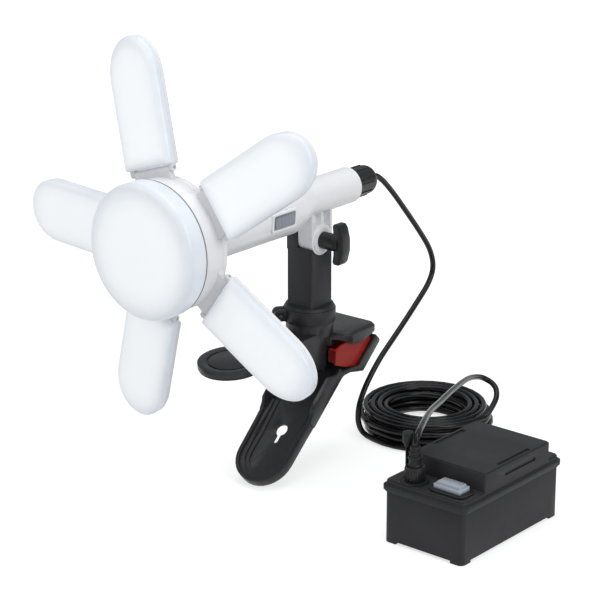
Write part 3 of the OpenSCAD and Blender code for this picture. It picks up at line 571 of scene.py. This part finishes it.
def turned(name, profile, closed=False):
    """The profile turned round the head's axis, as a piece that rides on the head."""
    points, faces = [], []
    for r, back in profile:
        for j in range(LENS_SIDES):
            a = 2 * math.pi * j / LENS_SIDES
            points.append(at(HEAD[0] + r * math.cos(a), LENS_FRONT + back, HEAD[1] + r * math.sin(a)))
    rings = len(profile)
    for i in range(rings if closed else rings - 1):
        faces += bridge(i * LENS_SIDES, (i + 1) % rings * LENS_SIDES, LENS_SIDES, flip=True)
    return link(name, mesh_of(name, points, faces), "head")


def make_main_lens():
    lens = turned("main_front", LENS_FACE + LENS_EDGE + LENS_WALL)
    work = bmesh.new()
    work.from_mesh(lens.data)
    bmesh.ops.remove_doubles(work, verts=work.verts, dist=JOIN)
    work.to_mesh(lens.data)
    work.free()
    centre = at(HEAD[0], 0, HEAD[1])
    radii = [math.hypot(v.co.x - centre.x, v.co.z - centre.z) / MM for v in lens.data.vertices]
    # painted shine in the middle of the lens, fading to painted shade at its rim
    add_painted_glow(lens, [max(0.0, min(1.0, (PAINTED_GLOW_R - r) / PAINTED_GLOW_FADE)) for r in radii])
    lens.data.materials.append(LENS)
    smooth(lens, LENS_SMOOTH)
    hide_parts("main_lens")


def make_seam_shadow_ring():
    """A thin dark grey ring between the round lens and the hub: painted shadow, standing in for the shade
    along the lens's rear edge.
    """
    shadow_ring = turned("lens_seam_shadow", SEAM_SHADOW_RING, closed=True)
    shadow_ring.data.materials.append(SEAM_SHADE_GREY)
    smooth(shadow_ring, LENS_SMOOTH)


make_main_lens()
make_seam_shadow_ring()

# finishes of the CAD pieces: a material and the width of the rounded edges in millimetres

CAD_SMOOTH = 30
FINISH = {
    "post": (POST_GREY, 0.7), "swivel_collar": (POST_GREY, 0.6), "upper_jaw": (CLAMP_BLACK, 0.7),
    "lower_jaw": (CLAMP_BLACK, 0.8), "jaw_pad": (RUBBER, 0.6), "upper_grip_liner": (RED, 0.5),
    "lower_grip_liner": (RED, 0.8), "battery_case": (BOX_BLACK, 0.8), "battery_lid": (BOX_BLACK, 0.8),
    "lid_seal": (RUBBER, 0.2), "cell_holder": (BOX_BLACK, 0.3), "battery_cells": (CELL, 0.4),
    "box_switch_bezel": (KNOB_BLACK, 0.5), "box_button": (CAP_LIGHT, 0.9), "inlet_socket": (KNOB_BLACK, 0.3),
    "plug_nut": (KNOB_BLACK, 0.3), "plug_body": (RUBBER, 0.3), "dust_cap": (RUBBER, 0.4),
    "tilt_knob": (KNOB_BLACK, 0.9), "barrel": (WHITE, 0.6), "cord_gland": (KNOB_BLACK, 0.5),
    "hub_ring": (WHITE, 0.7), "led_board_main": (BOARD, 0.0), "driver_board": (BOARD, 0.0),
    "head_switch_frame": (WHITE, 0.4), "head_button": (CAP, 0.5), "tilt_nut": (DARK_STEEL, 0.3),
    "tilt_bolt": (STEEL, 0.3), "post_retainer": (STEEL, 0.3), "collar_screw": (DARK_STEEL, 0.3),
    "jaw_pin": (DARK_STEEL, 0.3), "jaw_spring": (STEEL, 0.0), "leaf_pins": (STEEL, 0.2),
}
for k in LEAVES:
    FINISH[f"leaf_shell_{k}"] = (WHITE, 0.5)
    FINISH[f"leaf_board_{k}"] = (BOARD, 0.0)

for name, (material, edge) in FINISH.items():
    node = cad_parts[name]
    node.data.materials.clear()
    node.data.materials.append(material)
    smooth(node, CAD_SMOOTH)
    if edge:
        soften(node, edge)

# studio, in metres

FLOOR_SIZE = 6
# just below the part, so that its feet don't flicker in the floor
FLOOR_DROP = 0.0004
FLOOR_BOUNCE = 0.6
# what the camera and glossy pieces see: paper that shines by itself, more so far from the part, and is
# also lit a bit
PAPER_NEAR, PAPER_FAR = 0.35, 1.2
PAPER_DIM, PAPER_WHITE = 0.68, 1.0
PAPER_LIT = 0.48
FILL_COLOUR = (0.95, 0.97, 1, 1)
FILL = 0.45
# place, aim, size and power of each lamp
LAMPS = {
    "key": ((-0.7, -1.4, 1.5), (0, 0, 0.15), (1.0, 1.0), 6),
    "side": ((1.7, -0.3, 1.0), (0.05, 0, 0.12), (0.9, 1.3), 14),
    "top": ((0.0, 0.1, 1.9), (0, 0, 0.1), (1.5, 1.5), 16),
}


def ray_is(nodes, links, *kinds):
    """1 where the ray is of one of the kinds, else 0."""
    path = nodes.new("ShaderNodeLightPath")
    found = path.outputs[kinds[0]]
    for kind in kinds[1:]:
        node = nodes.new("ShaderNodeMath")
        node.operation = "MAXIMUM"
        links.new(found, node.inputs[0])
        links.new(path.outputs[kind], node.inputs[1])
        found = node.outputs["Value"]
    return found


def choose(nodes, links, fac, first, second, output):
    """The first shader where fac is 0 and the second where it is 1, as the tree's surface."""
    mix = nodes.new("ShaderNodeMixShader")
    links.new(fac, mix.inputs["Fac"])
    links.new(first, mix.inputs[1])
    links.new(second, mix.inputs[2])
    links.new(mix.outputs["Shader"], nodes[output].inputs["Surface"])


def make_floor():
    s = FLOOR_SIZE
    mesh = mesh_of("floor", [(-s, -s, 0), (s, -s, 0), (s, s, 0), (-s, s, 0)], [(0, 1, 2, 3)])
    floor = link("floor", mesh)
    floor.location.z = -FLOOR_DROP
    material, nodes, links, shader = new_material("floor_paper")
    shader.inputs["Base Color"].default_value = (FLOOR_BOUNCE, FLOOR_BOUNCE, FLOOR_BOUNCE, 1)
    shader.inputs["Roughness"].default_value = 0.9
    shader.inputs["Specular IOR Level"].default_value = 0.1
    place = nodes.new("ShaderNodeTexCoord")
    away = nodes.new("ShaderNodeVectorMath")
    away.operation = "LENGTH"
    links.new(place.outputs["Object"], away.inputs[0])
    strength = span(nodes, links, away.outputs["Value"], PAPER_DIM, PAPER_WHITE, PAPER_NEAR, PAPER_FAR)
    white = nodes.new("ShaderNodeEmission")
    white.inputs["Color"].default_value = (1, 1, 1, 1)
    links.new(strength, white.inputs["Strength"])
    lit = nodes.new("ShaderNodeBsdfDiffuse")
    lit.inputs["Color"].default_value = (PAPER_LIT, PAPER_LIT, PAPER_LIT, 1)
    shown = nodes.new("ShaderNodeAddShader")
    links.new(white.outputs["Emission"], shown.inputs[0])
    links.new(lit.outputs["BSDF"], shown.inputs[1])
    seen = ray_is(nodes, links, "Is Camera Ray", "Is Transmission Ray", "Is Glossy Ray")
    choose(nodes, links, seen, shader.outputs["BSDF"], shown.outputs["Shader"], "Material Output")
    mesh.materials.append(material)


def make_world():
    """White for the camera and through clear pieces, and an even fill for all other rays."""
    world = bpy.data.worlds.new("studio")
    bpy.context.scene.world = world
    world.use_nodes = True
    nodes, links = world.node_tree.nodes, world.node_tree.links
    backdrop = nodes.new("ShaderNodeBackground")
    backdrop.inputs["Color"].default_value = (1, 1, 1, 1)
    backdrop.inputs["Strength"].default_value = 1.0
    fill = nodes["Background"]
    fill.inputs["Color"].default_value = FILL_COLOUR
    fill.inputs["Strength"].default_value = FILL
    seen = ray_is(nodes, links, "Is Camera Ray", "Is Transmission Ray")
    choose(nodes, links, seen, fill.outputs["Background"], backdrop.outputs["Background"], "World Output")


def make_lamp(name, place, aim, size, power):
    data = bpy.data.lights.new(name, "AREA")
    data.shape = "RECTANGLE"
    data.size, data.size_y = size
    data.energy = power
    lamp = bpy.data.objects.new(name, data)
    bpy.context.scene.collection.objects.link(lamp)
    lamp.location = place
    lamp.rotation_euler = (Vector(aim) - Vector(place)).to_track_quat("-Z", "Y").to_euler()


make_floor()
make_world()
for name, lamp in LAMPS.items():
    make_lamp(name, *lamp)
bpy.context.scene.view_settings.view_transform = "Standard"
